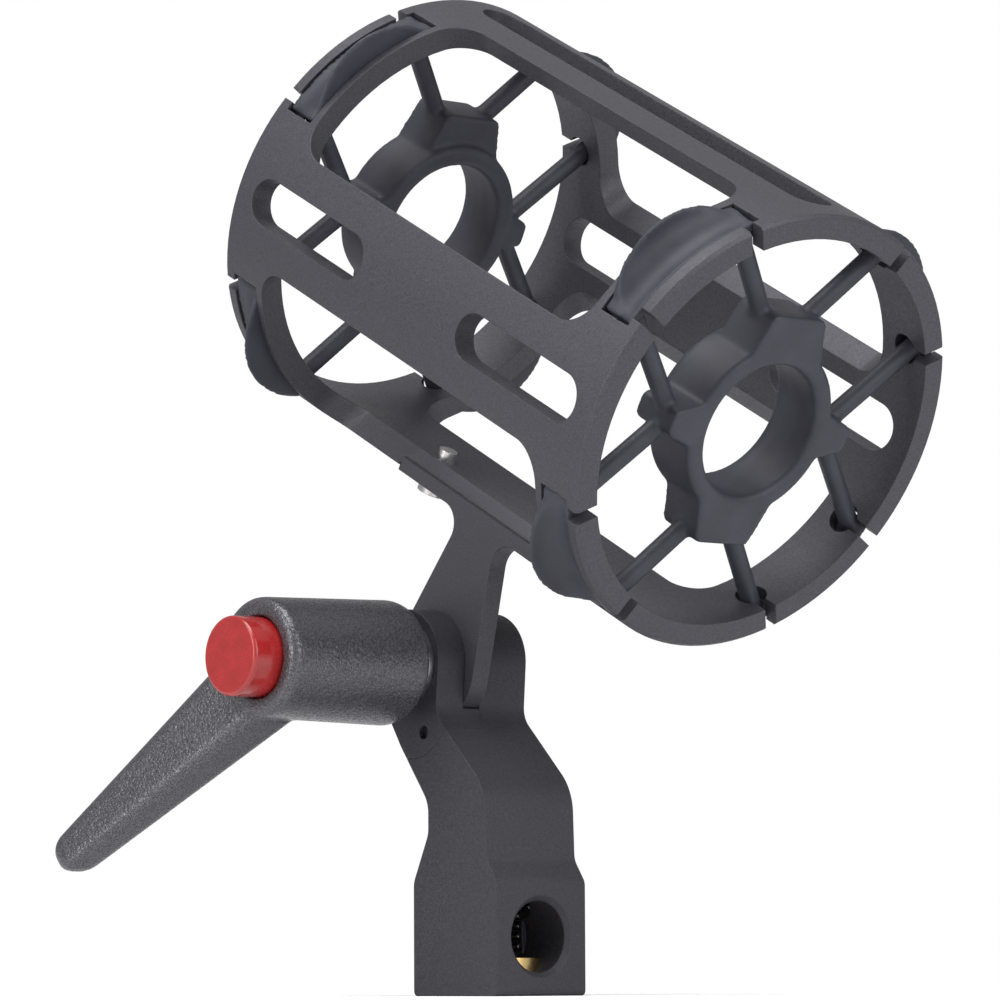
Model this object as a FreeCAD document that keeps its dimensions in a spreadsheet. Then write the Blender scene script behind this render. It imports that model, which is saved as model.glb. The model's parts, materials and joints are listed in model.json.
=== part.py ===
# Microphone shock mount: a slotted round cage on a tilting neck, two rubber suspensions,
# a forked pole adaptor and a push-button clamp lever.
# Millimetres. The origin is on the pole thread's axis, in the bottom face of the adaptor.
# X points to the back of the cage, Y to the clamp lever, Z up.
import FreeCAD
import Part
import math
import os

V = FreeCAD.Vector
X_AXIS = V(1, 0, 0)
Y_AXIS = V(0, 1, 0)
Z_AXIS = V(0, 0, 1)
FAR = 200.0

# Driving dimensions, each with its meaning.
SIZES = [
    ("adaptor_width", 19.0, "adaptor block, front to back"),
    ("adaptor_depth", 18.3, "adaptor block, along the hinge"),
    ("block_height", 17.4, "straight lower block of the adaptor"),
    ("stem_front", 2.3, "front of the stem behind the front of the block"),
    ("stem_back", 3.4, "back of the stem ahead of the back of the block"),
    ("stem_lean", 0.4, "lean of the stem's front towards the back, up to the bend"),
    ("shoulder_front", 3.4, "rise of the front shoulder from block to stem"),
    ("shoulder_back", 7.4, "rise of the back shoulder from block to stem"),
    ("bend_front_below", 19.6, "front of the stem's bend below the hinge"),
    ("bend_back_below", 21.6, "back of the stem's bend below the hinge"),
    ("waist_ahead", 6.8, "front of the ears' waist ahead of the hinge"),
    ("waist_below", 8.1, "front of the ears' waist below the hinge"),
    ("nape_behind", 1.3, "back of the ears' root behind the hinge"),
    ("nape_below", 12.8, "back of the ears' root below the hinge"),
    ("hinge_back", 11.1, "hinge axis behind the thread axis"),
    ("hinge_height", 51.2, "hinge axis above the bottom face"),
    ("ear_radius", 7.8, "round top of the fork's ears"),
    ("ear_lift", 0.7, "centre of the ear's round top above the hinge axis"),
    ("ear_shift", 0.4, "centre of the ear's round top behind the hinge axis"),
    ("edge_round", 0.8, "rounding of the block's bottom edges"),
    ("slot_width", 3.4, "slot of the fork"),
    ("slot_start", 0.2, "inner face of the fixed ear, from the middle plane"),
    ("slot_floor_radius", 9.8, "round floor of the slot about the hinge"),
    ("seat_radius", 8.1, "round seat of the jaw in the adaptor"),
    ("seat_ahead", 1.4, "centre of the seat ahead of the hinge"),
    ("seat_below", 6.6, "centre of the seat below the hinge"),
    ("ledge_below", 10.0, "front ledge of the seat below the hinge"),
    ("seat_gap", 0.03, "clearance of the jaw in its seat"),
    ("thread_radius", 4.76, "pole thread, three eighths of an inch, sixteen to the inch"),
    ("thread_depth", 20.0, "depth of the pole thread bore"),
    ("insert_radius", 6.2, "brass thread insert, outside"),
    ("insert_top", 5.8, "top of the insert"),
    ("cable_hole_radius", 5.5, "cross hole into the thread bore"),
    ("cable_hole_height", 9.0, "axis of the cross hole above the bottom face"),
    ("cable_hole_bevel", 0.8, "bevel at the mouth of the cross hole"),
    ("jaw_pin_radius", 1.0, "dowel pin of the jaw"),
    ("jaw_pin_ahead", 4.0, "dowel pin ahead of the hinge"),
    ("jaw_pin_below", 10.7, "dowel pin below the hinge"),
    ("jaw_pin_recess", 0.8, "pin end below the jaw's face"),
    ("jaw_pin_engaged", 5.0, "length of the pin in the adaptor"),
    ("pin_gap", 0.05, "running clearance on pins and bolts"),
    ("bolt_radius", 3.0, "pivot bolt"),
    ("bolt_head_radius", 5.0, "head of the pivot bolt"),
    ("bolt_head_height", 3.2, "head of the pivot bolt"),
    ("bolt_end", 21.0, "end of the pivot bolt from the middle plane"),
    ("bolt_key_radius", 2.3, "hexagon socket in the bolt's head, across corners by two"),
    ("bolt_key_depth", 1.8, "depth of the hexagon socket"),
    ("washer_radius", 6.5, "thrust washer"),
    ("washer_thickness", 1.0, "thrust washer"),
    ("face_gap", 0.03, "running clearance between turning faces"),
    ("collar_radius", 6.6, "serrated collar of the lever's insert"),
    ("collar_height", 2.4, "serrated collar of the lever's insert"),
    ("spline_radius", 5.9, "splined part of the insert"),
    ("spline_height", 11.0, "splined part of the insert"),
    ("serration_depth", 0.35, "depth of each serration"),
    ("serration_count", 36, "teeth of the serration"),
    ("hub_start", 2.25, "gap from the jaw's face to the lever's hub"),
    ("hub_length", 28.0, "length of the lever's hub"),
    ("hub_radius", 9.75, "hub of the lever at the jaw's end"),
    ("hub_tip_radius", 9.15, "hub of the lever at the button's end"),
    ("hub_round", 2.8, "rounding of the hub at the jaw's end"),
    ("hub_tip_round", 1.4, "rounding of the hub at the button's end"),
    ("hub_web", 3.0, "thickness of the web"),
    ("button_radius", 6.1, "push button"),
    ("button_gap", 0.1, "clearance of the button in the hub"),
    ("button_proud", 5.1, "button above the hub's end"),
    ("button_cap", 3.0, "closed end of the button"),
    ("button_wall", 1.0, "wall of the button's skirt"),
    ("button_skirt", 8.4, "skirt of the button inside the hub"),
    ("button_round", 0.6, "rounding of the button's rim"),
    ("spring_radius", 4.2, "coil of the button's spring, middle of the wire"),
    ("spring_wire", 0.35, "wire of the spring, radius"),
    ("spring_turns", 5.0, "turns of the spring"),
    ("lever_screw_radius", 2.0, "screw that holds the lever to its insert"),
    ("lever_screw_head_radius", 3.4, "head of that screw"),
    ("lever_screw_head_height", 2.6, "head of that screw"),
    ("lever_screw_engaged", 1.6, "thread of that screw in the insert"),
    ("arm_reach", 44.1, "middle of the arm's tip from the hinge axis"),
    ("arm_angle", 39.9, "turn of the arm about the hinge axis from straight back"),
    ("arm_root_width", 14.0, "arm at the hub, across"),
    ("arm_root_thickness", 8.6, "arm at the hub, along the hinge"),
    ("arm_tip_width", 7.4, "arm at the tip, across"),
    ("arm_tip_thickness", 5.6, "arm at the tip, along the hinge"),
    ("arm_root_inset", 4.6, "middle of the arm's root below the hub's end"),
    ("arm_rise", 11.6, "rise of the arm's tip along the hinge"),
    ("blade_gap", 0.05, "running clearance at each side of the blade"),
    ("lobe_radius", 9.4, "round lower end of the neck's blade"),
    ("blade_front", 4.6, "front of the blade under the foot, ahead of the hinge"),
    ("blade_back", 5.8, "back of the blade under the foot, behind the hinge"),
    ("neck_waist_below", 4.4, "level of the blade's widths below the foot"),
    ("neck_fillet", 3.6, "fillets between blade and foot"),
    ("foot_half_length", 22.0, "foot of the neck to each side of the hinge"),
    ("foot_width", 10.4, "foot of the neck along the hinge axis"),
    ("foot_thickness", 2.2, "foot of the neck"),
    ("foot_gap", 0.05, "clearance of the foot in its seat on the cage"),
    ("foot_screw_spacing", 18.0, "screws to each side of the hinge"),
    ("foot_screw_radius", 1.5, "screws of the foot"),
    ("foot_screw_head_radius", 2.8, "heads of the foot's screws"),
    ("foot_screw_head_height", 1.9, "heads of the foot's screws"),
    ("foot_screw_proud", 2.0, "screw ends above the inside of the cage bar"),
    ("cage_tilt", 28.3, "nose-down tilt of the cage"),
    ("cage_rise", 58.2, "cage axis above the hinge axis"),
    ("cage_middle_back", 4.4, "middle of the cage behind the hinge"),
    ("cage_aside", 5.65, "middle plane of the cage from that of the adaptor"),
    ("cage_radius", 35.0, "cage, outside"),
    ("cage_wall", 3.8, "wall of the cage"),
    ("cage_length", 91.2, "cage along its axis"),
    ("cage_bevel", 0.5, "bevel of the cage's outer rims"),
    ("foot_seat_depth", 2.6, "depth of the flat seat of the foot in the bottom bar"),
    ("window_band", 10.0, "end bands of the cage, outside the windows"),
    ("bar_half_angle", 16.0, "reach of a bar to each side of its middle, degrees"),
    ("window_corner", 5.0, "corner radius of the windows"),
    ("bar_slot_width", 7.4, "slots along the bars"),
    ("bar_slot_margin", 4.3, "ends of the bar slots from the cage's ends"),
    ("side_slot_length", 29.0, "length of each slot in the side bars"),
    ("notch_spread", 18.0, "notches to each side of a tooth's middle, degrees"),
    ("notch_width", 2.0, "mouth of each notch"),
    ("notch_eye_radius", 2.4, "round eye of each notch"),
    ("notch_eye_depth", 4.7, "middle of the eye behind the end face"),
    ("tooth_lip", 2.4, "front lip of the teeth that carry the rubber"),
    ("tooth_groove_end", 8.6, "end of the groove for the rubber"),
    ("tooth_groove_depth", 1.8, "depth of the groove for the rubber"),
    ("rubber_gap", 0.05, "clearance between rubber and metal"),
    ("hub_bore_radius", 10.6, "bore of a suspension hub"),
    ("hub_ring_radius", 13.8, "outside of a suspension hub"),
    ("hub_depth", 10.0, "depth of a suspension hub"),
    ("hub_recess", 0.6, "hub's face behind the cage's end face"),
    ("hub_lead", 0.6, "rounded mouth of the hub's bore"),
    ("hub_groove_depth", 0.3, "grooves inside the hub's bore"),
    ("hub_groove_width", 0.5, "grooves inside the hub's bore"),
    ("lobe_reach", 18.4, "lobes of the hub from its axis"),
    ("wide_lobe_width", 10.6, "top and bottom lobes"),
    ("slim_lobe_width", 3.8, "side lobes"),
    ("lobe_depth", 8.4, "lobes along the axis"),
    ("spoke_radius", 1.55, "spokes"),
    ("spoke_past", 1.2, "spoke ends beyond the middle of the cage's wall"),
    ("spoke_wide_start", 4.2, "start of the wide lobes' spokes from the lobe's middle"),
    ("spoke_slim_start", 1.4, "start of the slim lobes' spokes from the lobe's middle"),
    ("handle_half_angle", 21.2, "reach of a rubber handle to each side, degrees"),
    ("handle_fin_height", 4.3, "fin of a handle above the cage"),
    ("handle_fin_radius", 12.6, "outline of the fin"),
    ("handle_fin_thickness", 1.3, "fin of a handle along the axis"),
]

doc = FreeCAD.newDocument("shock_mount")
sheet = doc.addObject("Spreadsheet::Sheet", "Sizes")
for row, (alias, value, meaning) in enumerate(SIZES, start=1):
    sheet.set("A%d" % row, meaning)
    sheet.set("B%d" % row, str(value))
    sheet.setAlias("B%d" % row, alias)
doc.recompute()

PARTS = []


def size(name):
    """Read one driving dimension from the sheet."""
    return float(getattr(sheet, name))


def bind(obj, **expressions):
    """Tie properties of an object to expressions of the sheet's cells."""
    for name, text in expressions.items():
        obj.setExpression(name, text)
    return obj


def along(direction, base):
    """Placement that turns +Z onto a direction and moves to a base point."""
    return FreeCAD.Placement(base, FreeCAD.Rotation(Z_AXIS, direction))


def rod(radius, start, end):
    """Cylinder between two points. The radius is an expression."""
    obj = doc.addObject("Part::Cylinder", "Rod")
    axis = end - start
    bind(obj, Radius=radius)
    obj.Height = axis.Length
    obj.Placement = along(axis, start)
    return obj


def block(low, high):
    """Box between two corners."""
    obj = doc.addObject("Part::Box", "Block")
    obj.Length = high.x - low.x
    obj.Width = high.y - low.y
    obj.Height = high.z - low.z
    obj.Placement = FreeCAD.Placement(low, FreeCAD.Rotation())
    return obj


def joined(shapes):
    """Union of several objects."""
    if len(shapes) == 1:
        return shapes[0]
    obj = doc.addObject("Part::MultiFuse", "Union")
    obj.Shapes = shapes
    return obj


def cut(base, tools):
    """Base less its tools."""
    obj = doc.addObject("Part::Cut", "Cut")
    obj.Base = base
    obj.Tool = joined(tools)
    return obj


def common(first, second):
    """What two objects share."""
    obj = doc.addObject("Part::Common", "Common")
    obj.Base = first
    obj.Tool = second
    return obj


def rounded(points):
    """Closed outline of lines and tangent arcs. Each point is (u, v, corner radius)."""
    count = len(points)
    corners = []
    for i, (u, v, radius) in enumerate(points):
        here = V(u, v, 0)
        before = V(points[i - 1][0], points[i - 1][1], 0) - here
        after = V(points[(i + 1) % count][0], points[(i + 1) % count][1], 0) - here
        half = before.getAngle(after) / 2
        if radius <= 0 or half > math.radians(89.5):
            corners.append((here, None, here))
            continue
        reach = radius / math.tan(half)
        before.normalize()
        after.normalize()
        bisector = before + after
        bisector.normalize()
        middle = here + bisector * (radius / math.sin(half) - radius)
        corners.append((here + before * reach, middle, here + after * reach))
    edges = []
    for i, (start, middle, end) in enumerate(corners):
        if middle is not None:
            edges.append(Part.Arc(start, middle, end))
        following = corners[(i + 1) % count][0]
        if (following - end).Length > 1e-6:
            edges.append(Part.LineSegment(end, following))
    return edges


def plane_of(body, role):
    """One of a body's own origin planes."""
    for feature in body.Origin.OriginFeatures:
        if feature.Role == role:
            return feature
    raise ValueError("no origin plane " + role)


def padded(outline, role, low, high, thickness):
    """Body with an outline padded between two levels along the plane's axis."""
    body = doc.addObject("PartDesign::Body", "Padded")
    sketch = body.newObject("Sketcher::SketchObject", "Outline")
    sketch.AttachmentSupport = [(plane_of(body, role), "")]
    sketch.MapMode = "FlatFace"
    sketch.addGeometry(outline, False)
    pad = body.newObject("PartDesign::Pad", "Pad")
    pad.Profile = sketch
    bind(pad, Length=thickness)
    if role == "XZ_Plane":
        sketch.AttachmentOffset = FreeCAD.Placement(V(0, 0, -high), FreeCAD.Rotation())
    else:
        sketch.AttachmentOffset = FreeCAD.Placement(V(0, 0, low), FreeCAD.Rotation())
    return body


def turned(outline, role):
    """Body with an outline revolved about its sketch's horizontal axis."""
    body = doc.addObject("PartDesign::Body", "Turned")
    sketch = body.newObject("Sketcher::SketchObject", "Outline")
    sketch.AttachmentSupport = [(plane_of(body, role), "")]
    sketch.MapMode = "FlatFace"
    sketch.addGeometry(outline, False)
    revolution = body.newObject("PartDesign::Revolution", "Revolution")
    revolution.Profile = sketch
    revolution.ReferenceAxis = (sketch, ["H_Axis"])
    revolution.Angle = 360
    return body


def polygon(points):
    """Closed outline of straight edges."""
    return rounded([(u, v, 0) for u, v in points])


def named(label, obj, placement=None):
    """Give a finished sub-part its name and, if it has one, its place."""
    obj.Label = label
    if placement is not None:
        obj.Placement = placement
    PARTS.append((label, obj))
    return obj


# Places that several sub-parts share.
HINGE = V(size("hinge_back"), 0, size("hinge_height"))
JAW_FACE = size("adaptor_depth") / 2
SLOT_FAR = size("slot_start")
SLOT_NEAR = SLOT_FAR + size("slot_width")
BLADE_THICKNESS = size("slot_width") - 2 * size("blade_gap")
WASHER_FACE = JAW_FACE + size("face_gap") + size("washer_thickness")
INSERT_START = WASHER_FACE + size("face_gap")
HUB_START = JAW_FACE + size("hub_start")
HUB_END = HUB_START + size("hub_length")


def on_head():
    """Place of everything that tilts with the cage: the hinge axis, tilted."""
    return FreeCAD.Placement(HINGE, FreeCAD.Rotation(Y_AXIS, -size("cage_tilt")))


def on_hinge(angle=0.0):
    """Place of a sub-part that turns about the hinge axis."""
    return FreeCAD.Placement(HINGE, FreeCAD.Rotation(Y_AXIS, angle))


# Pole adaptor and clamp jaw, cut from the same profile.


def tangent_point(point, centre, radius, side):
    """Where a line from an outer point touches a circle, on its right (1) or left (-1)."""
    across = point[0] - centre[0]
    up = point[1] - centre[1]
    distance = math.hypot(across, up)
    angle = math.atan2(up, across) + side * math.acos(radius / distance)
    return centre[0] + radius * math.cos(angle), centre[1] + radius * math.sin(angle)


def ear_centre():
    """Centre of the ears' round top, X and Z."""
    return HINGE.x + size("ear_shift"), HINGE.z + size("ear_lift")


def adaptor_profile():
    """Side view of the adaptor up to where its ears turn round, X and Z."""
    half = size("adaptor_width") / 2
    shoulder = size("block_height")
    ear = size("ear_radius")
    waist = (HINGE.x - size("waist_ahead"), HINGE.z - size("waist_below"))
    nape = (HINGE.x + size("nape_behind"), HINGE.z - size("nape_below"))
    ear_front = tangent_point(waist, ear_centre(), ear, -1)
    ear_back = tangent_point(nape, ear_centre(), ear, 1)
    stem_front = size("stem_front") - half
    stem_back = half - size("stem_back")
    lean = size("stem_lean")
    return [
        (-half, 0, size("edge_round")),
        (-half, shoulder, 2.0),
        (stem_front, shoulder + size("shoulder_front"), 3.0),
        (stem_front + lean, HINGE.z - size("bend_front_below"), 9.0),
        (waist[0], waist[1], 4.0),
        (ear_front[0], ear_front[1], 0),
        (ear_back[0], ear_back[1], 0),
        (nape[0], nape[1], 12.0),
        (stem_back, HINGE.z - size("bend_back_below"), 5.0),
        (stem_back, shoulder + size("shoulder_back"), 4.0),
        (half, shoulder, 3.0),
        (half, 0, size("edge_round")),
    ]


def adaptor_blank():
    """The whole profile across the adaptor's depth."""
    across = padded(rounded(adaptor_profile()), "XZ_Plane", -JAW_FACE, JAW_FACE, "Sizes.adaptor_depth")
    centre = ear_centre()
    ears = rod("Sizes.ear_radius", V(centre[0], -JAW_FACE, centre[1]), V(centre[0], JAW_FACE, centre[1]))
    return joined([across, ears])


def seat_region(shrink, start):
    """Space of the clamp jaw: its round seat and all above the front ledge."""
    centre = HINGE + V(-size("seat_ahead"), 0, -size("seat_below"))
    ledge = HINGE.z - size("ledge_below") + shrink
    seat = rod("Sizes.seat_radius - %g" % shrink, V(centre.x, start, centre.z), V(centre.x, FAR, centre.z))
    above = block(V(-FAR, start, ledge), V(FAR, FAR, FAR))
    return joined([seat, above])


def blade_space(start, end):
    """Space of the neck's blade in the fork: round floor and all above the hinge."""
    radius = size("slot_floor_radius")
    floor = rod("Sizes.slot_floor_radius", V(HINGE.x, start, HINGE.z), V(HINGE.x, end, HINGE.z))
    above = block(V(HINGE.x - radius, start, HINGE.z), V(HINGE.x + radius, end, FAR))
    return joined([floor, above])


def jaw_pin_point(level):
    """A point of the jaw pin's axis."""
    return V(HINGE.x - size("jaw_pin_ahead"), level, HINGE.z - size("jaw_pin_below"))


def hinge_point(level):
    """A point of the hinge axis."""
    return V(HINGE.x, level, HINGE.z)


def pole_adaptor():
    """Block with the pole thread, the stem and the fork's fixed ear."""
    half = size("adaptor_width") / 2
    hole = size("cable_hole_height")
    bevel = size("cable_hole_bevel")
    mouth = doc.addObject("Part::Cone", "Mouth")
    bind(mouth, Radius1="Sizes.cable_hole_radius", Radius2="Sizes.cable_hole_radius + Sizes.cable_hole_bevel",
         Height="Sizes.cable_hole_bevel")
    mouth.Placement = along(-X_AXIS, V(bevel - half, 0, hole))
    head = size("bolt_head_height")
    tools = [
        seat_region(0.0, SLOT_FAR),
        rod("Sizes.thread_radius", V(0, 0, -1), V(0, 0, size("thread_depth"))),
        rod("Sizes.insert_radius", V(0, 0, -1), V(0, 0, size("insert_top"))),
        rod("Sizes.cable_hole_radius", V(0, 0, hole), V(-FAR, 0, hole)),
        mouth,
        rod("Sizes.bolt_radius", hinge_point(-FAR), hinge_point(FAR)),
        rod("Sizes.bolt_head_radius + Sizes.pin_gap", hinge_point(-FAR), hinge_point(head - JAW_FACE)),
        rod("Sizes.jaw_pin_radius", jaw_pin_point(SLOT_FAR - size("jaw_pin_engaged")), jaw_pin_point(FAR)),
    ]
    named("pole_adaptor", cut(adaptor_blank(), tools))


def thread_insert():
    """Brass bush that carries the mouth of the pole thread."""
    bottom = V(0, 0, 0)
    top = V(0, 0, size("insert_top"))
    bush = rod("Sizes.insert_radius", bottom, top)
    named("thread_insert", cut(bush, [rod("Sizes.thread_radius", bottom - Z_AXIS, top + Z_AXIS)]))


def clamp_jaw():
    """Near ear with the foot that forms the slot's floor, held by the lever."""
    start = SLOT_FAR + size("seat_gap")
    region = common(adaptor_blank(), seat_region(size("seat_gap"), start))
    tools = [
        blade_space(-FAR, SLOT_NEAR),
        rod("Sizes.bolt_radius + Sizes.pin_gap", hinge_point(-FAR), hinge_point(FAR)),
        rod("Sizes.jaw_pin_radius + Sizes.pin_gap", jaw_pin_point(-FAR), jaw_pin_point(FAR)),
    ]
    named("clamp_jaw", cut(region, tools))


def jaw_pin():
    """Dowel that keeps the jaw from turning."""
    start = jaw_pin_point(SLOT_FAR - size("jaw_pin_engaged"))
    end = jaw_pin_point(JAW_FACE - size("jaw_pin_recess"))
    named("jaw_pin", rod("Sizes.jaw_pin_radius", start, end))


def pivot_bolt():
    """Bolt through ears and blade, with its head sunk in the fixed ear."""
    head_end = size("bolt_head_height") - JAW_FACE
    shank = rod("Sizes.bolt_radius", hinge_point(head_end), hinge_point(size("bolt_end")))
    head = rod("Sizes.bolt_head_radius", hinge_point(-JAW_FACE), hinge_point(head_end))
    key = doc.addObject("Part::Prism", "Key")
    key.Polygon = 6
    bind(key, Circumradius="Sizes.bolt_key_radius", Height="Sizes.bolt_key_depth + 1")
    key.Placement = along(Y_AXIS, hinge_point(-JAW_FACE - 1))
    named("pivot_bolt", cut(joined([shank, head]), [key]))


# Clamp lever, about the hinge axis.


def ring_about_hinge(radius, bore, start, end):
    """Ring about the hinge axis, placed in the world. Sizes are expressions."""
    return cut(rod(radius, hinge_point(start), hinge_point(end)),
               [rod(bore, hinge_point(start - 1), hinge_point(end + 1))])


def thrust_washer():
    """Steel washer between jaw and lever."""
    start = JAW_FACE + size("face_gap")
    named("thrust_washer", ring_about_hinge("Sizes.washer_radius", "Sizes.bolt_radius + Sizes.pin_gap",
                                            start, WASHER_FACE))


def serrated(radius, low, high, thickness):
    """Serrated disc about the sketch's origin, between two levels along Y."""
    count = int(size("serration_count"))
    inner = radius - size("serration_depth")
    points = []
    for i in range(2 * count):
        reach = radius if i % 2 == 0 else inner
        angle = math.pi * i / count
        points.append((reach * math.cos(angle), reach * math.sin(angle)))
    return padded(polygon(points), "XZ_Plane", low, high, thickness)


def lever_insert():
    """Threaded bush on the pivot bolt, serrated to drive the lever."""
    collar_end = INSERT_START + size("collar_height")
    spline_end = collar_end + size("spline_height")
    collar = serrated(size("collar_radius"), INSERT_START, collar_end, "Sizes.collar_height")
    spline = serrated(size("spline_radius"), collar_end, spline_end, "Sizes.spline_height")
    screw_start = spline_end - size("lever_screw_engaged")
    tools = [
        rod("Sizes.bolt_radius + Sizes.pin_gap", V(0, INSERT_START - 1, 0), V(0, size("bolt_end") + 0.5, 0)),
        rod("Sizes.lever_screw_radius", V(0, screw_start, 0), V(0, spline_end + 1, 0)),
    ]
    named("lever_insert", cut(joined([collar, spline]), tools), on_hinge())


def web_levels():
    """Start and end of the web inside the lever's hub."""
    start = INSERT_START + size("collar_height") + size("spline_height") + size("button_gap")
    return start, start + size("hub_web")


def hub_section():
    """Half section of the lever's hub: along the axis, and the radius."""
    web_start, web_end = web_levels()
    insert_bore = size("spline_radius") + size("button_gap")
    collar_bore = size("collar_radius") + size("button_gap")
    collar_end = INSERT_START + size("collar_height") + size("button_gap")
    button_bore = size("button_radius") + size("button_gap")
    screw_bore = size("lever_screw_radius") + size("button_gap")
    return [
        (HUB_START, collar_bore, 0),
        (HUB_START, size("hub_radius"), size("hub_round")),
        (HUB_END, size("hub_tip_radius"), size("hub_tip_round")),
        (HUB_END, button_bore, 0.3),
        (web_end, button_bore, 0),
        (web_end, screw_bore, 0),
        (web_start, screw_bore, 0),
        (web_start, insert_bore, 0),
        (collar_end, insert_bore, 0),
        (collar_end, collar_bore, 0),
    ]


def arm_section(reach, middle, width, thickness, corner):
    """Rounded cross-section of the arm at a distance from the hinge axis."""
    half_width = width / 2
    half_thickness = thickness / 2
    outline = rounded([
        (-half_width, middle - half_thickness, corner),
        (half_width, middle - half_thickness, corner),
        (half_width * 0.86, middle + half_thickness, corner),
        (-half_width * 0.86, middle + half_thickness, corner),
    ])
    wire = Part.Wire([edge.toShape() for edge in outline])
    # The section's second direction is Y and its normal is X, so it stands across the arm.
    wire.Placement = FreeCAD.Placement(V(reach, 0, 0), FreeCAD.Rotation(-Z_AXIS, Y_AXIS, X_AXIS, "ZXY"))
    feature = doc.addObject("Part::Feature", "ArmSection")
    feature.Shape = wire
    return feature


def lever_arm():
    """Arm from inside the hub to its rounded tip."""
    root_middle = HUB_END - size("arm_root_inset")
    tip_middle = root_middle + size("arm_rise")
    root_reach = size("button_radius") + 1.0
    half_tip = size("arm_tip_width") / 2
    rise = (tip_middle - root_middle) / (size("arm_reach") - root_reach)
    stations = [
        (root_reach, 1.0, 1.0, 1.9),
        (size("arm_reach"), 0.0, 1.0, 1.9),
        (size("arm_reach") + half_tip * 0.62, 0.0, 0.80, 1.7),
        (size("arm_reach") + half_tip * 0.95, 0.0, 0.40, 0.8),
    ]
    sections = []
    for reach, root_share, scale, corner in stations:
        width = size("arm_tip_width") + root_share * (size("arm_root_width") - size("arm_tip_width"))
        thickness = size("arm_tip_thickness")
        thickness += root_share * (size("arm_root_thickness") - size("arm_tip_thickness"))
        middle = root_middle + rise * (reach - root_reach)
        sections.append(arm_section(reach, middle, width * scale, thickness * scale, corner))
    straight = doc.addObject("Part::Loft", "Arm")
    straight.Sections = sections[:2]
    straight.Solid = True
    straight.Ruled = True
    tip = doc.addObject("Part::Loft", "ArmTip")
    tip.Sections = sections[1:]
    tip.Solid = True
    tip.Ruled = False
    return [straight, tip]


def lever_handle():
    """Die-cast handle: hub and arm in one piece."""
    web_start, web_end = web_levels()
    hub = turned(rounded(hub_section()), "XY_Plane")
    hub.Placement = FreeCAD.Placement(V(0, 0, 0), FreeCAD.Rotation(X_AXIS, Y_AXIS))
    bores = [
        rod("Sizes.button_radius + Sizes.button_gap", V(0, web_end, 0), V(0, FAR, 0)),
        rod("Sizes.spline_radius + Sizes.button_gap", V(0, 0, 0), V(0, web_start, 0)),
    ]
    arm = cut(joined(lever_arm()), bores)
    named("lever_handle", joined([hub, arm]), on_hinge(size("arm_angle")))


def lever_screw():
    """Screw through the hub's web into the insert."""
    web_start, web_end = web_levels()
    spline_end = web_start - size("button_gap")
    shank_start = spline_end - size("lever_screw_engaged")
    head_end = web_end + size("lever_screw_head_height")
    shank = rod("Sizes.lever_screw_radius", V(0, shank_start, 0), V(0, web_end, 0))
    head = rod("Sizes.lever_screw_head_radius", V(0, web_end, 0), V(0, head_end, 0))
    slot = block(V(-0.5, head_end - 1.0, -FAR), V(0.5, FAR, FAR))
    named("lever_screw", cut(joined([shank, head]), [slot]), on_hinge(size("arm_angle")))


def button_levels():
    """Face of the button, inside of its cap and end of its skirt."""
    face = HUB_END + size("button_proud")
    return face, face - size("button_cap"), HUB_END - size("button_skirt")


def push_button():
    """Red cap with a skirt that slides in the hub."""
    face, cap_inside, skirt_end = button_levels()
    radius = size("button_radius")
    inside = radius - size("button_wall")
    section = [
        (face, 0, 0),
        (face, radius, size("button_round")),
        (skirt_end, radius, 0.2),
        (skirt_end, inside, 0.2),
        (cap_inside, inside, 0.4),
        (cap_inside, 0, 0),
    ]
    button = turned(rounded(section), "XY_Plane")
    named("push_button", button,
          FreeCAD.Placement(HINGE, FreeCAD.Rotation(X_AXIS, Y_AXIS)))


def button_spring():
    """Coil spring between the web and the button's cap."""
    web_start, web_end = web_levels()
    face, cap_inside, skirt_end = button_levels()
    wire = size("spring_wire")
    height = cap_inside - web_end - 2 * wire - 2 * size("face_gap")
    path = doc.addObject("Part::Helix", "SpringPath")
    path.Pitch = height / size("spring_turns")
    path.Height = height
    bind(path, Radius="Sizes.spring_radius")
    section = doc.addObject("Part::Circle", "SpringSection")
    bind(section, Radius="Sizes.spring_wire")
    section.Placement = along(Y_AXIS, V(size("spring_radius"), 0, 0))
    coil = doc.addObject("Part::Sweep", "Spring")
    coil.Sections = [section]
    coil.Spine = (path, ["Edge1"])
    coil.Solid = True
    coil.Frenet = True
    start = web_end + wire + size("face_gap")
    named("button_spring", coil, along(Y_AXIS, hinge_point(start)))


# Neck bracket and its screws. Local frame: the hinge axis is the origin, X runs to
# the cage's back along the cage, Z up across it.


FOOT_TOP = size("cage_rise") - size("cage_radius") + size("foot_seat_depth")
FOOT_BOTTOM = FOOT_TOP - size("foot_thickness")
BLADE_FACE = SLOT_NEAR - size("blade_gap")
FOOT_FAR = BLADE_FACE - size("foot_width")
FOOT_SCREW_LEVEL = (BLADE_FACE + FOOT_FAR) / 2
CAGE_BORE = size("cage_radius") - size("cage_wall")
GROOVE_RADIUS = size("cage_radius") - size("tooth_groove_depth")


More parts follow.
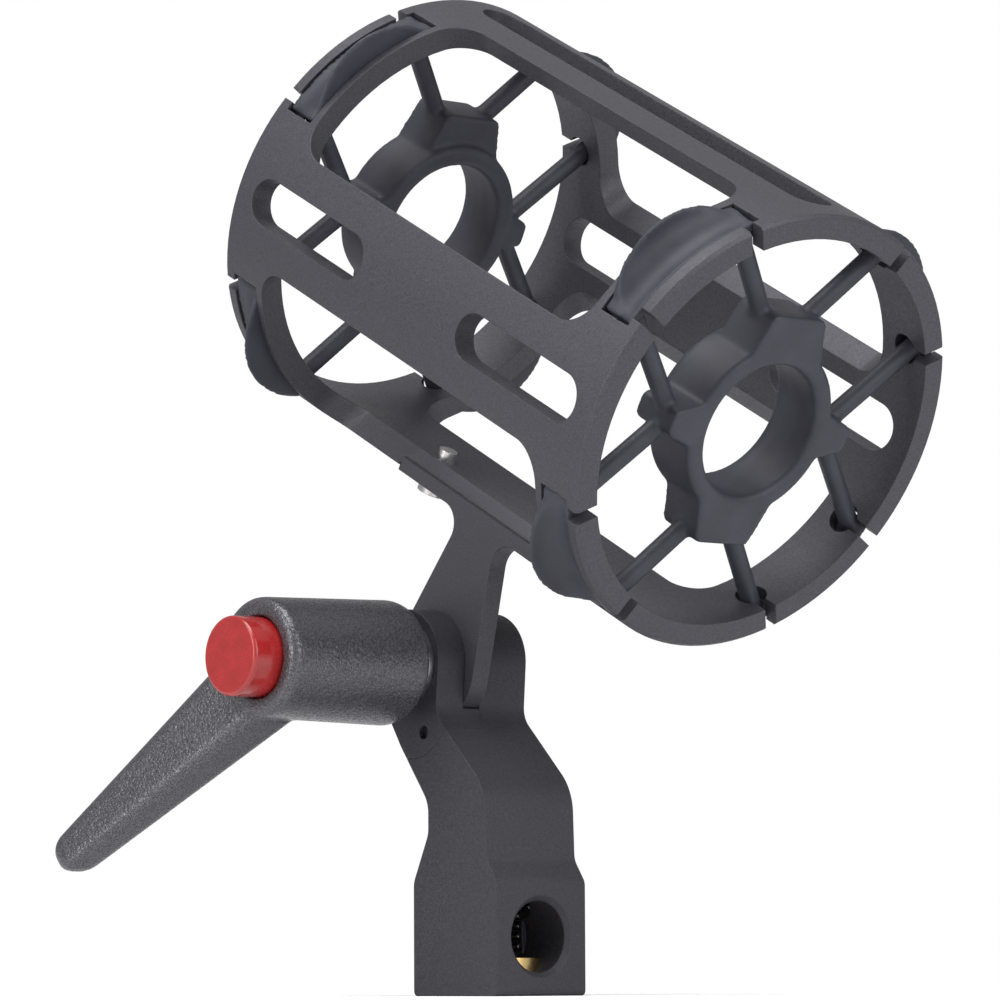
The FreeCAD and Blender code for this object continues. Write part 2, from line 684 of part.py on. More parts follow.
def neck_profile():
    """Side view of blade and foot above the lobe."""
    length = size("foot_half_length")
    fillet = size("neck_fillet")
    waist_level = FOOT_BOTTOM - size("neck_waist_below")
    lobe = size("lobe_radius")
    front = (-size("blade_front"), waist_level)
    back = (size("blade_back"), waist_level)
    front_low = tangent_point(front, (0, 0), lobe, 1)
    back_low = tangent_point(back, (0, 0), lobe, -1)
    front_lean = (front[0] - front_low[0]) / (front[1] - front_low[1])
    back_lean = (back[0] - back_low[0]) / (back[1] - back_low[1])
    front_top = front[0] + front_lean * size("neck_waist_below")
    back_top = back[0] + back_lean * size("neck_waist_below")
    return [
        (-length, FOOT_TOP, 0),
        (-length, FOOT_BOTTOM, 0.4),
        (front_top, FOOT_BOTTOM, fillet),
        (front_low[0], front_low[1], 0),
        (back_low[0], back_low[1], 0),
        (back_top, FOOT_BOTTOM, fillet),
        (length, FOOT_BOTTOM, 0.4),
        (length, FOOT_TOP, 0),
    ]


def foot_screw_rod(radius, side, low, high):
    """Round tool or shank on one of the foot's screw axes."""
    where = side * size("foot_screw_spacing")
    return rod(radius, V(where, FOOT_SCREW_LEVEL, low), V(where, FOOT_SCREW_LEVEL, high))


def neck_bracket():
    """Machined bracket: blade with a round lower end, and foot under the cage."""
    length = size("foot_half_length")
    start = BLADE_FACE - BLADE_THICKNESS
    blade = padded(rounded(neck_profile()), "XZ_Plane", start, BLADE_FACE,
                   "Sizes.slot_width - 2 * Sizes.blade_gap")
    lobe = rod("Sizes.lobe_radius", V(0, start, 0), V(0, BLADE_FACE, 0))
    foot = block(V(-length, FOOT_FAR, FOOT_BOTTOM), V(length, BLADE_FACE, FOOT_TOP))
    tools = [
        rod("Sizes.bolt_radius + Sizes.pin_gap", V(0, -FAR, 0), V(0, FAR, 0)),
        foot_screw_rod("Sizes.foot_screw_radius", 1, 0, FAR),
        foot_screw_rod("Sizes.foot_screw_radius", -1, 0, FAR),
    ]
    named("neck_bracket", cut(joined([blade, lobe, foot]), tools), on_head())


def foot_screw(side, label):
    """Round-headed screw from below the foot into the cage's bottom bar."""
    inside = size("cage_rise") - CAGE_BORE
    top = inside + size("foot_screw_proud")
    head_low = FOOT_BOTTOM - size("foot_screw_head_height")
    shank = foot_screw_rod("Sizes.foot_screw_radius", side, FOOT_BOTTOM, top)
    head = foot_screw_rod("Sizes.foot_screw_head_radius", side, head_low, FOOT_BOTTOM)
    key = doc.addObject("Part::Prism", "Key")
    key.Polygon = 6
    bind(key, Circumradius="Sizes.foot_screw_radius * 0.75", Height="Sizes.foot_screw_head_height * 0.6 + 1")
    where = side * size("foot_screw_spacing")
    key.Placement = FreeCAD.Placement(V(where, FOOT_SCREW_LEVEL, head_low - 1), FreeCAD.Rotation())
    named(label, cut(joined([shank, head]), [key]), on_head())


# Cage and suspensions, in the neck's frame. The cage axis runs along X.


CAGE_FRONT = size("cage_middle_back") - size("cage_length") / 2
CAGE_BACK = CAGE_FRONT + size("cage_length")
CAGE_AXIS = V(0, -size("cage_aside"), size("cage_rise"))


def outward(angle):
    """Direction out of the cage axis. Zero is up, and positive turns to the lever's side."""
    turn = math.radians(angle)
    return V(0, math.sin(turn), math.cos(turn))


def cage_point(station, angle=0.0, radius=0.0):
    """Point of the cage's frame."""
    return CAGE_AXIS + X_AXIS * station + outward(angle) * radius


def cage_blank():
    """Tube with bevelled outer rims."""
    outer = size("cage_radius")
    bevel = size("cage_bevel")
    section = polygon([
        (CAGE_FRONT, CAGE_BORE), (CAGE_FRONT, outer - bevel), (CAGE_FRONT + bevel, outer),
        (CAGE_BACK - bevel, outer), (CAGE_BACK, outer - bevel), (CAGE_BACK, CAGE_BORE),
    ])
    tube = turned(section, "XY_Plane")
    tube.Placement = FreeCAD.Placement(CAGE_AXIS, FreeCAD.Rotation())
    return tube


def cage_opening(angle, low, high, half_width, corner):
    """Cutter with rounded corners that leaves the cage axis outward."""
    outline = rounded([
        (low, -half_width, corner), (high, -half_width, corner),
        (high, half_width, corner), (low, half_width, corner),
    ])
    cutter = padded(outline, "XY_Plane", 0, FAR, "2 * Sizes.cage_radius")
    cutter.Placement = FreeCAD.Placement(CAGE_AXIS, FreeCAD.Rotation(X_AXIS, -angle))
    return cutter


def cage_window(tooth):
    """Cutter for the window between two bars."""
    band = size("window_band")
    half_angle = math.radians(45 - size("bar_half_angle"))
    half_width = size("cage_radius") * math.sin(half_angle)
    return cage_opening(tooth, CAGE_FRONT + band, CAGE_BACK - band, half_width, size("window_corner"))


def bar_slot(angle, low, high):
    """Cutter for a slot with round ends along a bar."""
    half = size("bar_slot_width") / 2
    return cage_opening(angle, low, high, half, half)


def bar_slots():
    """One long slot on top and two shorter ones in each side bar."""
    margin = size("bar_slot_margin")
    length = size("side_slot_length")
    tools = [bar_slot(0, CAGE_FRONT + margin, CAGE_BACK - margin)]
    for angle in (90, -90):
        tools.append(bar_slot(angle, CAGE_FRONT + margin, CAGE_FRONT + margin + length))
        tools.append(bar_slot(angle, CAGE_BACK - margin - length, CAGE_BACK - margin))
    return tools


def ends():
    """Both ends of the cage: the end's station and the way out of it."""
    return ((CAGE_FRONT, -1), (CAGE_BACK, 1))


TOOTH_ANGLES = (45, 135, 225, 315)


def notch_angles():
    """Angles of the eight notches of one end."""
    spread = size("notch_spread")
    return [tooth + side * spread for tooth in TOOTH_ANGLES for side in (-1, 1)]


def notch(face, way, angle):
    """Cutter for one notch: a narrow mouth and a round eye."""
    half = size("notch_width") / 2
    depth = size("notch_eye_depth")
    reach = 2 * size("cage_radius")
    turn = FreeCAD.Rotation(X_AXIS, -angle)
    low = min(face - way * depth, face + way)
    box = doc.addObject("Part::Box", "Mouth")
    box.Length = depth + 1
    bind(box, Width="Sizes.notch_width")
    box.Height = reach
    box.Placement = FreeCAD.Placement(CAGE_AXIS + turn.multVec(V(low, -half, 0)), turn)
    eye_station = face - way * depth
    eye = rod("Sizes.notch_eye_radius", cage_point(eye_station), cage_point(eye_station, angle, reach))
    return [box, eye]


def sector(start, end, inner, outer, tooth, half_angle):
    """Ring sector about the cage axis between two stations."""
    outline = polygon([(start, inner), (end, inner), (end, outer), (start, outer)])
    wire = Part.Wire([edge.toShape() for edge in outline])
    return swept_section(wire, tooth, half_angle)


def swept_section(wire, tooth, half_angle):
    """Turn a section in the XY plane about the X axis around one tooth."""
    face = Part.Face(wire)
    first = tooth - half_angle
    # The sketch plane's Y direction is at ninety degrees, so turn back from there.
    face.rotate(V(0, 0, 0), X_AXIS, 90 - first)
    solid = face.revolve(V(0, 0, 0), X_AXIS, -2 * half_angle)
    solid.translate(CAGE_AXIS)
    feature = doc.addObject("Part::Feature", "Sector")
    feature.Shape = solid
    return feature


def tooth_groove(face, way, tooth):
    """Cutter for the groove that holds a rubber handle."""
    stations = sorted((face - way * size("tooth_lip"), face - way * size("tooth_groove_end")))
    return sector(stations[0], stations[1], GROOVE_RADIUS, size("cage_radius") + 5,
                  tooth, size("handle_half_angle") + 0.6)


def foot_seat():
    """Cutter for the flat under the bottom bar where the neck's foot lies."""
    gap = size("foot_gap")
    length = size("foot_half_length") + gap
    return block(V(-length, FOOT_FAR - gap, 0), V(length, FAR, FOOT_TOP))


def cage_frame():
    """One-piece tube with four windows, slotted bars and notched ends."""
    tools = [cage_window(tooth) for tooth in TOOTH_ANGLES]
    tools += bar_slots()
    for face, way in ends():
        for angle in notch_angles():
            tools += notch(face, way, angle)
        for tooth in TOOTH_ANGLES:
            tools.append(tooth_groove(face, way, tooth))
    tools.append(foot_seat())
    for side in (1, -1):
        tools.append(foot_screw_rod("Sizes.foot_screw_radius", side, 0, size("cage_rise")))
    named("cage_frame", cut(cage_blank(), tools), on_head())


def hub_ring(face, way):
    """Ring that holds the microphone, with two grooves in its bore."""
    front = face - way * size("hub_recess")
    back = front - way * size("hub_depth")
    bore = size("hub_bore_radius")
    groove = bore + size("hub_groove_depth")
    lead = size("hub_lead")
    width = size("hub_groove_width")
    first = front - way * size("hub_depth") * 0.38
    second = front - way * size("hub_depth") * 0.68
    return turned(polygon([
        (front, bore + lead), (front - way * lead, bore),
        (first, bore), (first, groove), (first - way * width, groove), (first - way * width, bore),
        (second, bore), (second, groove), (second - way * width, groove), (second - way * width, bore),
        (back + way * lead, bore), (back, bore + lead),
        (back, size("hub_ring_radius") - 0.5), (back + way * 0.5, size("hub_ring_radius")),
        (front - way * 0.5, size("hub_ring_radius")), (front, size("hub_ring_radius") - 0.5),
    ]), "XY_Plane")


def hub_lobe(face, way, angle, wide):
    """Lobe that two spokes leave from."""
    width = size("wide_lobe_width") if wide else size("slim_lobe_width")
    front = face - way * size("hub_recess")
    depth = size("lobe_depth")
    low = min(front, front - way * depth)
    ring = size("hub_ring_radius")
    reach = size("lobe_reach")
    flare = width / 2 + 2.0
    outline = rounded([
        (-flare, ring * 0.86, 0), (flare, ring * 0.86, 0),
        (width / 2, reach, 1.2), (-width / 2, reach, 1.2),
    ])
    wire = Part.Wire([edge.toShape() for edge in outline])
    solid = Part.Face(wire).extrude(V(0, 0, depth))
    # The outline's first direction becomes sideways, its second outward.
    lobe = doc.addObject("Part::Feature", "Lobe")
    lobe.Shape = solid
    sideways = X_AXIS.cross(outward(angle))
    lobe.Placement = FreeCAD.Placement(CAGE_AXIS + X_AXIS * low,
                                       FreeCAD.Rotation(sideways, outward(angle), X_AXIS, "ZXY"))
    return lobe


def spokes(face, way):
    """Eight round spokes from the lobes through the notches."""
    station = face - way * size("notch_eye_depth")
    result = []
    for lobe_angle in (0, 90, 180, 270):
        wide = lobe_angle in (0, 180)
        start_offset = size("spoke_wide_start") if wide else size("spoke_slim_start")
        for side in (-1, 1):
            sideways = X_AXIS.cross(outward(lobe_angle)) * -1
            start = cage_point(station, lobe_angle, size("lobe_reach") - 1.6) + sideways * (side * start_offset)
            notch_angle = lobe_angle + side * (45 - size("notch_spread"))
            through = cage_point(station, notch_angle, size("cage_radius") - size("cage_wall") / 2)
            past = (through - start).normalize() * size("spoke_past")
            result.append(rod("Sizes.spoke_radius", start, through + past))
    return result


def rubber_handle(face, way, tooth):
    """Saddle in the tooth's groove with a crescent fin."""
    gap = size("rubber_gap")
    start = face - way * (size("tooth_lip") + gap)
    end = face - way * (size("tooth_groove_end") - gap)
    outer = size("cage_radius")
    bottom = GROOVE_RADIUS + gap
    fin_top = outer + size("handle_fin_height") + 1.0
    fin_front = end + way * size("handle_fin_thickness")
    middle = (start + fin_front) / 2
    edges = [
        Part.LineSegment(V(start, bottom, 0), V(start, outer - 0.1, 0)),
        Part.Arc(V(start, outer - 0.1, 0), V(middle, outer - 0.5, 0), V(fin_front, fin_top, 0)),
        Part.LineSegment(V(fin_front, fin_top, 0), V(end, fin_top, 0)),
        Part.LineSegment(V(end, fin_top, 0), V(end, bottom, 0)),
        Part.LineSegment(V(end, bottom, 0), V(start, bottom, 0)),
    ]
    wire = Part.Wire([edge.toShape() for edge in edges])
    saddle = swept_section(wire, tooth, size("handle_half_angle"))
    outline_radius = size("handle_fin_radius")
    centre = outer + size("handle_fin_height") - outline_radius
    low = min(start, end) - 1
    high = max(start, end) + 1
    outline = rod("Sizes.handle_fin_radius", cage_point(low, tooth, centre), cage_point(high, tooth, centre))
    base = rod("Sizes.cage_radius - 0.1", cage_point(low), cage_point(high))
    return common(saddle, joined([outline, base]))


def suspension(label, face, way):
    """One rubber moulding: hub, lobes, spokes and four handles."""
    ring = hub_ring(face, way)
    ring.Placement = FreeCAD.Placement(CAGE_AXIS, FreeCAD.Rotation())
    lobes = [hub_lobe(face, way, angle, angle in (0, 180)) for angle in (0, 90, 180, 270)]
    low = min(face, face - way * (size("hub_recess") + size("hub_depth"))) - 1
    high = max(face, face - way * (size("hub_recess") + size("hub_depth"))) + 1
    bore = rod("Sizes.hub_bore_radius + Sizes.hub_lead", cage_point(low), cage_point(high))
    trimmed = cut(joined(lobes), [bore])
    handles = [rubber_handle(face, way, tooth) for tooth in TOOTH_ANGLES]
    named(label, joined([ring, trimmed] + spokes(face, way) + handles), on_head())


def build():
    """Make every sub-part."""
    pole_adaptor()
    thread_insert()
    clamp_jaw()
    jaw_pin()
    pivot_bolt()
    thrust_washer()
    lever_insert()
    lever_handle()
    lever_screw()
    push_button()
    button_spring()
    neck_bracket()
    foot_screw(-1, "foot_screw_front")
    foot_screw(1, "foot_screw_rear")
    cage_frame()
    suspension("suspension_front", CAGE_FRONT, -1)
    suspension("suspension_rear", CAGE_BACK, 1)
    doc.recompute()


def check():
    """Stop if any object failed or any sub-part is not one sound shape."""
    for obj in doc.Objects:
        if "Invalid" in obj.State or "Error" in obj.State:
            raise RuntimeError("failed object: %s %s" % (obj.Name, obj.State))
    for label, obj in PARTS:
        shape = obj.Shape
        if shape.isNull() or not shape.isValid():
            raise RuntimeError("bad shape: " + label)
        box = shape.BoundBox
        print("%-18s solids %d volume %.1f box %.1f %.1f %.1f to %.1f %.1f %.1f" % (
            label, len(shape.Solids), shape.Volume,
            box.XMin, box.YMin, box.ZMin, box.XMax, box.YMax, box.ZMax))


def write():
    """Write each sub-part to its own file."""
    os.makedirs("parts", exist_ok=True)
    for label, obj in PARTS:
        obj.Shape.exportStep("parts/%s.step" % label)


build()
check()
write()
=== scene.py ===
"""Finish and studio for a microphone shock mount: a slotted round cage on a clamped neck,
two rubber suspensions, a forked pole adaptor and a push-button lever. Lengths are in metres."""
import json
import math

import bmesh
import bpy
from bpy.props import FloatProperty, FloatVectorProperty, IntProperty, PointerProperty
from mathutils import Matrix, Vector


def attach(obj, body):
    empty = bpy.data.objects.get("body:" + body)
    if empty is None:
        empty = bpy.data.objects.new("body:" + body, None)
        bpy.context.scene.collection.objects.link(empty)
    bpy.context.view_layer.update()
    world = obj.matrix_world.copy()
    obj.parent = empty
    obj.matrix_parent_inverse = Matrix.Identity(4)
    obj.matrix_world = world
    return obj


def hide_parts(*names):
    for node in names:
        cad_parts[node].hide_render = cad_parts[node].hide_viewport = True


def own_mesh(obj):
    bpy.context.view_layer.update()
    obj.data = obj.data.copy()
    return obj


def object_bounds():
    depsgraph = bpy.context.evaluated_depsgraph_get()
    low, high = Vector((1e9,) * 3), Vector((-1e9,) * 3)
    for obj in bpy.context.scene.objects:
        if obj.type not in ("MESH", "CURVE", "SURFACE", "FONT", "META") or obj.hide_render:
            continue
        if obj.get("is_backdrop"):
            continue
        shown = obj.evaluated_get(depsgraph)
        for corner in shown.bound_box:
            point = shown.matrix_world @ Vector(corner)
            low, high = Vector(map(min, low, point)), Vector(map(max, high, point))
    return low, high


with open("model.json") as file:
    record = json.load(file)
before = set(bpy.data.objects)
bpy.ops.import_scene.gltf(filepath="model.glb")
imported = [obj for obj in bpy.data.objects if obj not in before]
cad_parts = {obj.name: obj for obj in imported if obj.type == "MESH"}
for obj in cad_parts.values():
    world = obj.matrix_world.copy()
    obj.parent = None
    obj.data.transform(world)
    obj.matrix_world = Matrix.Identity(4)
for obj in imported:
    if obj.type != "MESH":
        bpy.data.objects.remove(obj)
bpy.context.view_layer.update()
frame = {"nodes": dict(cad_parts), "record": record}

bl_info = {
    "name": "Microphone shock mount",
    "version": (1, 0, 0),
    "blender": (4, 5, 0),
    "location": "View3D > Sidebar > Shock mount",
    "description": "Finishes, moulded and cast pieces, thread and studio of a microphone shock mount",
    "category": "Object",
}

MM = 0.001
RECORD = frame["record"]
MOUNTS = {mount["name"]: mount for mount in RECORD["mounts"]}
THREAD_RADIUS = MOUNTS["pole_thread"]["dims"]["r_mm"] * MM
THREAD_DEPTH = MOUNTS["pole_thread"]["dims"]["length_mm"] * MM
INSERT_TOP = 5.8 * MM
# Axis and radius of the hole across the adaptor's front, as in the solids.
CROSS_HOLE = Vector((0, 0, 9.0 * MM))
CROSS_HOLE_RADIUS = 5.5 * MM
# The ridge of the thread: steps in a turn, how deep its root is sunk in the wall, and its
# half width at root and crest as shares of the pitch.
THREAD_STEPS = 72
THREAD_SUNK = 0.04 * MM
ROOT_SHARE = 0.46
CREST_SHARE = 0.07
WELD_DISTANCE = 0.002 * MM

# Colour and roughness of the bare and plated metals.
NICKEL = ((0.62, 0.61, 0.60), 0.26)
BLACKENED = ((0.05, 0.05, 0.055), 0.38)
ZINC = ((0.42, 0.42, 0.44), 0.34)
OILED = ((0.10, 0.10, 0.105), 0.36)
BRASS = ((0.70, 0.50, 0.22), 0.28)
BARE = ((0.16, 0.16, 0.17), 0.36)

# Place, width and height of each soft lamp, with the setting that holds its power.
LAMPS = (
    ("key_lamp", (-0.10, 0.25, 0.75), 0.5, 0.5, "key_power"),
    ("side_lamp", (0.05, 0.72, 0.30), 0.35, 0.6, "side_power"),
    ("fill_lamp", (-0.75, -0.10, 0.35), 0.4, 0.6, "fill_power"),
)
FLOOR_REACH = 6.0
# Distances from the thread's axis between which the floor turns to plain white.
FADE_START = 0.03
FADE_END = 0.22
BODY_OF = {node: body for body, nodes in RECORD["behaviour"]["bodies"].items() for node in nodes}


class MountFinish(bpy.types.PropertyGroup):
    """Colours and textures of the pieces."""

    cage_colour: FloatVectorProperty(
        name="Cage colour", description="Anodised cage and neck", subtype="COLOR",
        size=3, min=0, max=1, default=(0.062, 0.060, 0.072))
    adaptor_colour: FloatVectorProperty(
        name="Adaptor colour", description="Anodised pole adaptor and clamp jaw", subtype="COLOR",
        size=3, min=0, max=1, default=(0.046, 0.045, 0.054))
    rubber_colour: FloatVectorProperty(
        name="Rubber colour", description="Blue-black suspension rubber", subtype="COLOR",
        size=3, min=0, max=1, default=(0.036, 0.036, 0.050))
    lever_colour: FloatVectorProperty(
        name="Lever colour", description="Coarse powder coat of the lever", subtype="COLOR",
        size=3, min=0, max=1, default=(0.045, 0.044, 0.050))
    button_colour: FloatVectorProperty(
        name="Button colour", description="Red push button", subtype="COLOR",
        size=3, min=0, max=1, default=(0.36, 0.014, 0.014))
    grain: FloatProperty(
        name="Blast grain", description="Size of the blasted grain under the anodising",
        subtype="DISTANCE", default=0.22 * MM)
    coat_grain: FloatProperty(
        name="Coat grain", description="Size of the powder coat's grain",
        subtype="DISTANCE", default=0.42 * MM)
    edge: FloatProperty(
        name="Broken edge", description="Radius that the machined edges are broken to",
        subtype="DISTANCE", default=0.28 * MM)


class MountMoulding(bpy.types.PropertyGroup):
    """How finely the moulded and cast pieces are rounded."""

    rubber_voxel: FloatProperty(
        name="Rubber detail", description="Mesh size of the rubber suspensions",
        subtype="DISTANCE", default=0.36 * MM)
    rubber_passes: IntProperty(
        name="Rubber rounding", description="Smoothing passes on the rubber", default=14)
    lever_voxel: FloatProperty(
        name="Casting detail", description="Mesh size of the cast lever",
        subtype="DISTANCE", default=0.34 * MM)
    lever_passes: IntProperty(
        name="Casting rounding", description="Smoothing passes on the cast lever", default=8)
    thread_pitch: FloatProperty(
        name="Thread pitch", description="Pitch of the pole thread, sixteen to the inch",
        subtype="DISTANCE", default=25.4 / 16 * MM)
    thread_height: FloatProperty(
        name="Thread height", description="Height of the pole thread's profile",
        subtype="DISTANCE", default=0.72 * MM)


class MountStage(bpy.types.PropertyGroup):
    """Studio and camera."""

    floor_colour: FloatVectorProperty(
        name="Floor colour", description="Plain pale floor", subtype="COLOR",
        size=3, min=0, max=1, default=(0.86, 0.86, 0.87))
    floor_lift: FloatProperty(
        name="Floor lift", description="Glow that keeps the floor near the object pale",
        default=0.35)
    world_strength: FloatProperty(
        name="Surround light", description="Light from the white surround", default=0.42)
    key_power: FloatProperty(
        name="Key light", description="Large soft lamp above", subtype="POWER", default=4.2)
    side_power: FloatProperty(
        name="Side light", description="Soft lamp on the lever's side", subtype="POWER",
        default=2.4)
    fill_power: FloatProperty(
        name="Fill light", description="Soft lamp ahead of the cage", subtype="POWER", default=2.6)
    lens: FloatProperty(
        name="Lens", description="Focal length on a 36 mm sensor", default=188.8)
    camera_place: FloatVectorProperty(
        name="Camera place", description="Position of the camera", subtype="TRANSLATION",
        size=3, default=(-0.5994, 0.5430, 0.0051))
    camera_azimuth: FloatProperty(
        name="Azimuth", description="Direction of view, from along Y towards minus X",
        subtype="ANGLE", default=math.radians(227.8))
    camera_elevation: FloatProperty(
        name="Elevation", description="How far the camera looks up", subtype="ANGLE",
        default=math.radians(5.04))
    camera_roll: FloatProperty(
        name="Roll", description="Lean of the camera to the left", subtype="ANGLE",
        default=math.radians(-0.25))


def finish_settings():
    """The finish properties of the scene."""
    return bpy.context.scene.mount_finish


def moulding_settings():
    """The moulding properties of the scene."""
    return bpy.context.scene.mount_moulding


def stage_settings():
    """The stage properties of the scene."""
    return bpy.context.scene.mount_stage


class Shader:
    """A material under construction, with its Principled shader."""

    def __init__(self, name, colour, roughness, metallic=0.0, specular=0.5):
        self.material = bpy.data.materials.new(name)
        self.material.use_nodes = True
        self.tree = self.material.node_tree
        self.shader = self.tree.nodes["Principled BSDF"]
        self.shader.inputs["Base Color"].default_value = (*colour, 1)
        self.shader.inputs["Roughness"].default_value = roughness
        self.shader.inputs["Metallic"].default_value = metallic
        self.shader.inputs["Specular IOR Level"].default_value = specular
        self.place = self.tree.nodes.new("ShaderNodeTexCoord").outputs["Object"]
        self.colour = colour
        self.normal = None

    def link(self, start, end):
        """Join two sockets."""
        self.tree.links.new(start, end)

    def noise(self, size, detail=2.0, stretch=(1, 1, 1)):
        """Noise whose features are about the given size."""
        mapping = self.tree.nodes.new("ShaderNodeMapping")
        mapping.inputs["Scale"].default_value = stretch
        self.link(self.place, mapping.inputs["Vector"])
        texture = self.tree.nodes.new("ShaderNodeTexNoise")
        texture.inputs["Scale"].default_value = 1 / size
        texture.inputs["Detail"].default_value = detail
        self.link(mapping.outputs["Vector"], texture.inputs["Vector"])
        return texture.outputs["Fac"]

    def cells(self, size):
        """Cell pattern for coarse coatings."""
        texture = self.tree.nodes.new("ShaderNodeTexVoronoi")
        texture.feature = "SMOOTH_F1"
        texture.inputs["Scale"].default_value = 1 / size
        self.link(self.place, texture.inputs["Vector"])
        return texture.outputs["Distance"]

    def spread(self, value, low, high, socket, start=0.3, end=0.7):
        """Drive one of the shader's sockets between two levels."""
        span = self.tree.nodes.new("ShaderNodeMapRange")
        span.inputs["From Min"].default_value = start
        span.inputs["From Max"].default_value = end
        span.inputs["To Min"].default_value = low
        span.inputs["To Max"].default_value = high
        self.link(value, span.inputs["Value"])
        self.link(span.outputs["Result"], self.shader.inputs[socket])

    def tint(self, value, dark, light, start=0.3, end=0.7):
        """Vary the base colour between two shares of it."""
        ramp = self.tree.nodes.new("ShaderNodeValToRGB")
        for element, position, share in zip(ramp.color_ramp.elements, (start, end), (dark, light)):
            element.position = position
            element.color = tuple(min(1.0, c * share) for c in self.colour) + (1,)
        self.link(value, ramp.inputs["Fac"])
        self.link(ramp.outputs["Color"], self.shader.inputs["Base Color"])

    def round_edges(self, radius):
        """Break the edges in the shading."""
        bevel = self.tree.nodes.new("ShaderNodeBevel")
        bevel.samples = 6
        bevel.inputs["Radius"].default_value = radius
        self.normal = bevel.outputs["Normal"]

    def bump(self, value, depth, strength=1.0):
        """Add relief of a given depth."""
        relief = self.tree.nodes.new("ShaderNodeBump")
        relief.inputs["Strength"].default_value = strength
        relief.inputs["Distance"].default_value = depth
        self.link(value, relief.inputs["Height"])
        if self.normal is not None:
            self.link(self.normal, relief.inputs["Normal"])
        self.normal = relief.outputs["Normal"]

    def done(self):
        """Join the relief to the shader and return the material."""
        if self.normal is not None:
            self.link(self.normal, self.shader.inputs["Normal"])
        return self.material


def anodised(name, colour, roughness=0.46):
    """Bead-blasted and black anodised aluminium."""
    settings = finish_settings()
    made = Shader(name, colour, roughness, metallic=0.35, specular=0.5)
    made.round_edges(settings.edge)
    grain = made.noise(settings.grain, detail=3.0)
    made.tint(grain, 0.72, 1.35)
    made.spread(made.noise(settings.grain * 2.5), roughness - 0.06, roughness + 0.10, "Roughness")
    made.bump(grain, 0.035 * MM, 0.55)
    made.bump(made.noise(6 * MM, detail=1.0), 0.02 * MM, 0.3)
    return made.done()


def rubber():
    """Matt moulded elastomer."""
    settings = finish_settings()
    made = Shader("suspension_rubber", settings.rubber_colour, 0.5, specular=0.42)
    fine = made.noise(0.16 * MM, detail=3.0)
    made.tint(made.noise(5 * MM), 0.85, 1.2)
    made.spread(fine, 0.42, 0.60, "Roughness")
    made.bump(fine, 0.012 * MM, 0.5)
    return made.done()


def powder_coat():
    """Coarse sparkling powder coat of the cast lever."""
    settings = finish_settings()
    made = Shader("lever_coating", settings.lever_colour, 0.34, specular=0.6)
    lumps = made.cells(settings.coat_grain)
    fine = made.noise(settings.coat_grain * 0.45, detail=3.0)
    made.tint(fine, 0.5, 5.0, 0.42, 0.72)
    made.spread(fine, 0.0, 0.9, "Metallic", 0.50, 0.62)
    made.spread(lumps, 0.20, 0.46, "Roughness")
    made.bump(lumps, 0.10 * MM, 0.75)
    made.bump(fine, 0.04 * MM, 0.6)
    return made.done()


def red_plastic():
    """Satin red moulded plastic."""
    settings = finish_settings()
    made = Shader("button_red", settings.button_colour, 0.24, specular=0.5)
    made.round_edges(settings.edge)
    made.shader.inputs["Coat Weight"].default_value = 0.5
    made.shader.inputs["Coat Roughness"].default_value = 0.08
    made.tint(made.noise(3 * MM), 0.9, 1.1)
    made.spread(made.noise(0.3 * MM), 0.20, 0.30, "Roughness")
    made.bump(made.noise(0.25 * MM), 0.004 * MM, 0.3)
    return made.done()


def turned_metal(name, colour, roughness, scratch=0.12 * MM):
    """Bare or plated metal with fine tool marks."""
    settings = finish_settings()
    made = Shader(name, colour, roughness, metallic=1.0)
    made.round_edges(settings.edge * 0.6)
    marks = made.noise(scratch, detail=2.0, stretch=(1, 1, 6))
    made.tint(made.noise(2 * MM), 0.88, 1.1)
    made.spread(marks, roughness - 0.05, roughness + 0.09, "Roughness")
    made.bump(marks, 0.008 * MM, 0.4)
    return made.done()


def dress(node, material):
    """Give a piece of the frame its finish."""
    piece = frame["nodes"][node]
    if not piece.material_slots:
        piece.data.materials.append(material)
    for slot in piece.material_slots:
        slot.material = material


def piece_from(mesh, name, material, node):
    """New piece in the place of a node of the frame, with its finish."""
    piece = bpy.data.objects.new(name, mesh)
    bpy.context.scene.collection.objects.link(piece)
    mesh.materials.clear()
    mesh.materials.append(material)
    for face in mesh.polygons:
        face.use_smooth = True
    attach(piece, BODY_OF[node])
    return piece


def softened(node, name, voxel, passes, material):
    """Moulded or cast piece: the node's form with its edges and joins rounded over."""
    source = frame["nodes"][node]
    mesh = source.data.copy()
    work = bpy.data.objects.new(name + "_work", mesh)
    bpy.context.scene.collection.objects.link(work)
    weld = work.modifiers.new("weld", "WELD")
    weld.merge_threshold = WELD_DISTANCE
    remesh = work.modifiers.new("remesh", "REMESH")
    remesh.mode = "VOXEL"
    remesh.voxel_size = voxel
    smooth = work.modifiers.new("smooth", "SMOOTH")
    smooth.factor = 0.5
    smooth.iterations = passes
    graph = bpy.context.evaluated_depsgraph_get()
    result = bpy.data.meshes.new_from_object(work.evaluated_get(graph), depsgraph=graph)
    result.name = name
    bpy.data.objects.remove(work)
    piece = piece_from(result, name, material, node)
    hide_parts(node)
    return piece


def in_cross_hole(point):
    """Whether a point of the thread lies where the cross hole cuts it away."""
    return point.x < 0 and (point - CROSS_HOLE).yz.length < CROSS_HOLE_RADIUS


